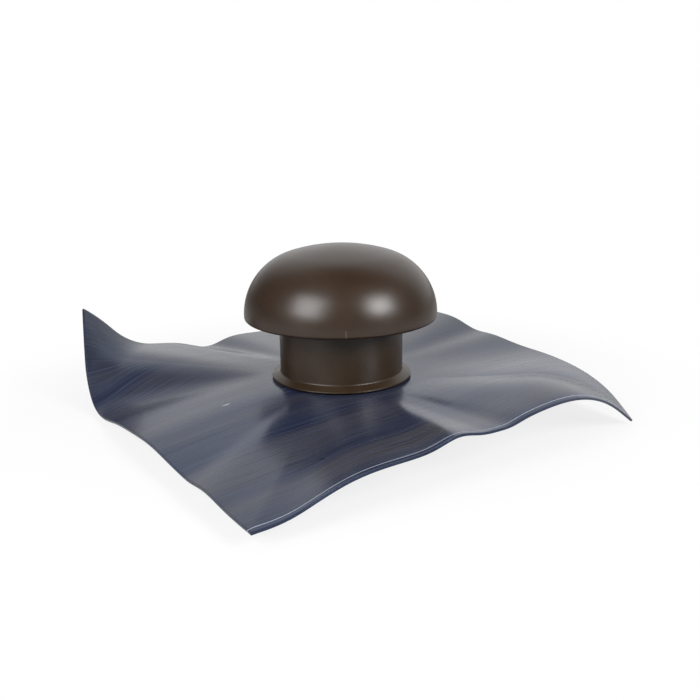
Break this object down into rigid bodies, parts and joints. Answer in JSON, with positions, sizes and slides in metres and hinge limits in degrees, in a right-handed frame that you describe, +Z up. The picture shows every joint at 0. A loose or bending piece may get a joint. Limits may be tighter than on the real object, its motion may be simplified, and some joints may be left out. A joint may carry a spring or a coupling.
{
  "type": "roof vent cap",
  "caption": "Mushroom-shaped roof vent cap: a domed hood on a flanged stub pipe, with a soft wavy flashing sheet held under the flange to seal it to the roof",
  "frame": {"origin": "centre of the stub pipe's lower mouth, where the duct plugs in", "axes": "+Z up along the pipe; +X and +Y along the flashing sheet's sides"},
  "size_m": [0.3726, 0.3726, 0.1456],
  "materials": {
    "brown_plastic": "satin moulded",
    "grey_sheet": "satin calendered sheet"
  },
  "bodies": {
    "root": {"stub_pipe": "brown_plastic", "retaining_ring": "brown_plastic", "flashing_sheet": "grey_sheet", "hood": "brown_plastic"}
  },
  "joints": []
}
